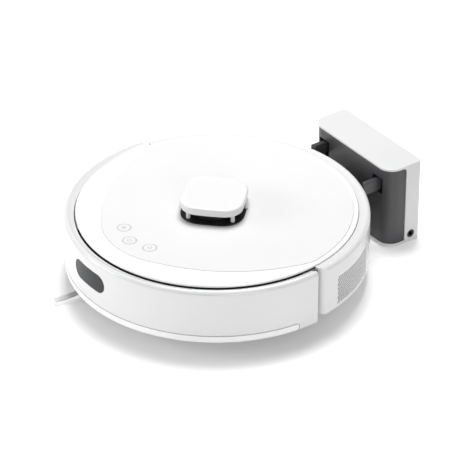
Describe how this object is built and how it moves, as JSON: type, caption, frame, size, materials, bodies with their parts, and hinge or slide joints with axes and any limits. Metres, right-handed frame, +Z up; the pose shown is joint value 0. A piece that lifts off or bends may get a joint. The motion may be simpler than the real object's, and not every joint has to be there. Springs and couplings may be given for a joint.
{
  "type": "robot vacuum cleaner",
  "caption": "Round robot vacuum with a laser turret, sprung front bumper, side brush, roller, drive wheels and rear dustbin, parked on a slim upright charging dock.",
  "frame": {"origin": "centre of the whole object's footprint (robot and dock together) on the floor; the robot's own centre is 19.5 mm further back (-Y is the front)", "axes": "+Z up; -Y is the robot's front; +X is its left side; the dock stands at +Y"},
  "size_m": [0.34, 0.416, 0.1046],
  "materials": {
    "white_gloss": "glossy white",
    "white_satin": "satin light grey-white",
    "white_shell": "semi-gloss white",
    "soft_strip": "pale soft strip",
    "grey_plastic": "mid grey moulded",
    "dark_plastic": "dark grey moulded",
    "black_plastic": "black moulded",
    "rubber": "black rubber",
    "brush_rubber": "dark grey rubber and bristle",
    "bristle": "pale nylon bristle",
    "steel": "bright steel",
    "contact_metal": "plated contact",
    "smoked_lens": "dark smoked infrared window",
    "clear_smoke": "smoked clear plastic",
    "filter_paper": "pleated filter paper",
    "circuit_board": "green circuit board",
    "battery_wrap": "blue shrink wrap",
    "dock_white": "satin white",
    "dock_dark": "satin dark grey"
  },
  "bodies": {
    "chassis": {"chassis_base": "dark_plastic", "rear_shell": "white_shell", "exhaust_grille": "white_shell", "top_lid": "white_gloss", "top_plate": "white_satin", "turret_base": "black_plastic", "turret_cap": "white_satin", "lidar_deck": "black_plastic", "lidar_motor": "steel", "lidar_belt": "rubber", "main_board": "circuit_board", "battery_pack": "battery_wrap", "battery_cover": "dark_plastic", "base_screws": "steel", "cliff_sensors": "smoked_lens", "charge_pads": "contact_metal", "bumper_switches": "black_plastic", "bumper_springs": "steel", "suspension_pins": "steel", "brush_housing": "grey_plastic", "brush_guard": "grey_plastic", "brush_gearmotor": "grey_plastic", "side_brush_motor": "grey_plastic", "fan_housing": "black_plastic"},
    "bumper": {"bumper_shell": "white_shell", "bumper_strip": "soft_strip", "sensor_window": "smoked_lens"},
    "lidar_rotor": {"lidar_rotor": "black_plastic", "lidar_lens": "smoked_lens"},
    "lidar_pulley": {"lidar_pulley": "grey_plastic"},
    "button_spot": {"button_spot": "white_satin"},
    "button_power": {"button_power": "white_satin"},
    "button_home": {"button_home": "white_satin"},
    "side_brush": {"side_brush_hub": "grey_plastic", "side_brush_bristles": "bristle"},
    "roller": {"roller_core": "grey_plastic", "roller_blades": "brush_rubber"},
    "arm_left": {"wheel_arm_left": "grey_plastic"},
    "arm_right": {"wheel_arm_right": "grey_plastic"},
    "wheel_left": {"wheel_hub_left": "grey_plastic", "tyre_left": "rubber"},
    "wheel_right": {"wheel_hub_right": "grey_plastic", "tyre_right": "rubber"},
    "caster_fork": {"caster_fork": "grey_plastic", "caster_axle": "steel"},
    "caster_wheel": {"caster_wheel": "rubber"},
    "dustbin": {"dustbin_tub": "white_shell", "dustbin_lid": "clear_smoke", "dustbin_filter": "filter_paper"},
    "dustbin_latch": {"dustbin_latch": "grey_plastic"},
    "fan_impeller": {"fan_impeller": "black_plastic"},
    "dock": {"dock_shell": "dock_white", "dock_panel": "dock_dark", "dock_base": "dock_white", "dock_feet": "rubber", "dock_jack": "black_plastic"},
    "dock_arm_left": {"dock_arm_left": "dock_dark", "dock_contact_left": "contact_metal"},
    "dock_arm_right": {"dock_arm_right": "dock_dark", "dock_contact_right": "contact_metal"}
  },
  "joints": [
    {"name": "bumper_press", "type": "slide", "parent": "chassis", "child": "bumper", "axis": [0, 1, 0], "range_m": [0, 0.004], "stiffness_N_per_m": 300, "springref_m": -0.004, "deforming": ["bumper_springs"]},
    {"name": "lidar_spin", "type": "hinge", "parent": "chassis", "child": "lidar_rotor", "pos_m": [0, -0.02358, 0.085], "axis": [0, 0, 1], "continuous": true},
    {"name": "lidar_pulley_spin", "type": "hinge", "parent": "chassis", "child": "lidar_pulley", "pos_m": [0.048, -0.02358, 0.078], "axis": [0, 0, 1], "continuous": true},
    {"name": "button_spot_press", "type": "slide", "parent": "chassis", "child": "button_spot", "axis": [0, 0, -1], "range_m": [0, 0.0006], "stiffness_N_per_m": 900, "springref_m": -0.0006},
    {"name": "button_power_press", "type": "slide", "parent": "chassis", "child": "button_power", "axis": [0, 0, -1], "range_m": [0, 0.0006], "stiffness_N_per_m": 900, "springref_m": -0.0006},
    {"name": "button_home_press", "type": "slide", "parent": "chassis", "child": "button_home", "axis": [0, 0, -1], "range_m": [0, 0.0006], "stiffness_N_per_m": 900, "springref_m": -0.0006},
    {"name": "side_brush_spin", "type": "hinge", "parent": "chassis", "child": "side_brush", "pos_m": [-0.088, -0.12998, 0.008], "axis": [0, 0, 1], "continuous": true, "deforming": ["side_brush_bristles"]},
    {"name": "roller_spin", "type": "hinge", "parent": "chassis", "child": "roller", "pos_m": [0, -0.00798, 0.024], "axis": [1, 0, 0], "continuous": true},
    {"name": "suspension_left", "type": "hinge", "parent": "chassis", "child": "arm_left", "pos_m": [0.105, 0.02802, 0.042], "axis": [1, 0, 0], "range_deg": [0, 28], "stiffness_Nm_per_rad": 0.15, "springref_deg": 40.11},
    {"name": "wheel_left_spin", "type": "hinge", "parent": "arm_left", "child": "wheel_left", "pos_m": [0.124, -0.01998, 0.034], "axis": [1, 0, 0], "continuous": true},
    {"name": "suspension_right", "type": "hinge", "parent": "chassis", "child": "arm_right", "pos_m": [-0.105, 0.02802, 0.042], "axis": [1, 0, 0], "range_deg": [0, 28], "stiffness_Nm_per_rad": 0.15, "springref_deg": 40.11},
    {"name": "wheel_right_spin", "type": "hinge", "parent": "arm_right", "child": "wheel_right", "pos_m": [-0.124, -0.01998, 0.034], "axis": [1, 0, 0], "continuous": true},
    {"name": "caster_swivel", "type": "hinge", "parent": "chassis", "child": "caster_fork", "pos_m": [0, -0.13798, 0.028], "axis": [0, 0, 1], "continuous": true},
    {"name": "caster_spin", "type": "hinge", "parent": "caster_fork", "child": "caster_wheel", "pos_m": [0, -0.13198, 0.0125], "axis": [1, 0, 0], "continuous": true},
    {"name": "dustbin_slide", "type": "slide", "parent": "chassis", "child": "dustbin", "axis": [0, 1, 0], "range_m": [0, 0.008]},
    {"name": "dustbin_latch_press", "type": "slide", "parent": "dustbin", "child": "dustbin_latch", "axis": [0, -1, 0], "range_m": [0, 0.0025], "stiffness_N_per_m": 400, "springref_m": -0.0015},
    {"name": "fan_spin", "type": "hinge", "parent": "chassis", "child": "fan_impeller", "pos_m": [0.0935, 0.06502, 0.05], "axis": [0, 0, 1], "continuous": true},
    {"name": "dock_park", "type": "slide", "parent": "chassis", "child": "dock", "axis": [0, 1, 0], "range_m": [0, 0.3]},
    {"name": "dock_arm_left_press", "type": "slide", "parent": "dock", "child": "dock_arm_left", "axis": [0, 1, 0], "range_m": [0, 0.005], "stiffness_N_per_m": 400, "springref_m": -0.002},
    {"name": "dock_arm_right_press", "type": "slide", "parent": "dock", "child": "dock_arm_right", "axis": [0, 1, 0], "range_m": [0, 0.005], "stiffness_N_per_m": 400, "springref_m": -0.002}
  ],
  "couplings": [
    {"joint": "lidar_pulley_spin", "follows": "lidar_spin", "ratio": 6.744}
  ]
}
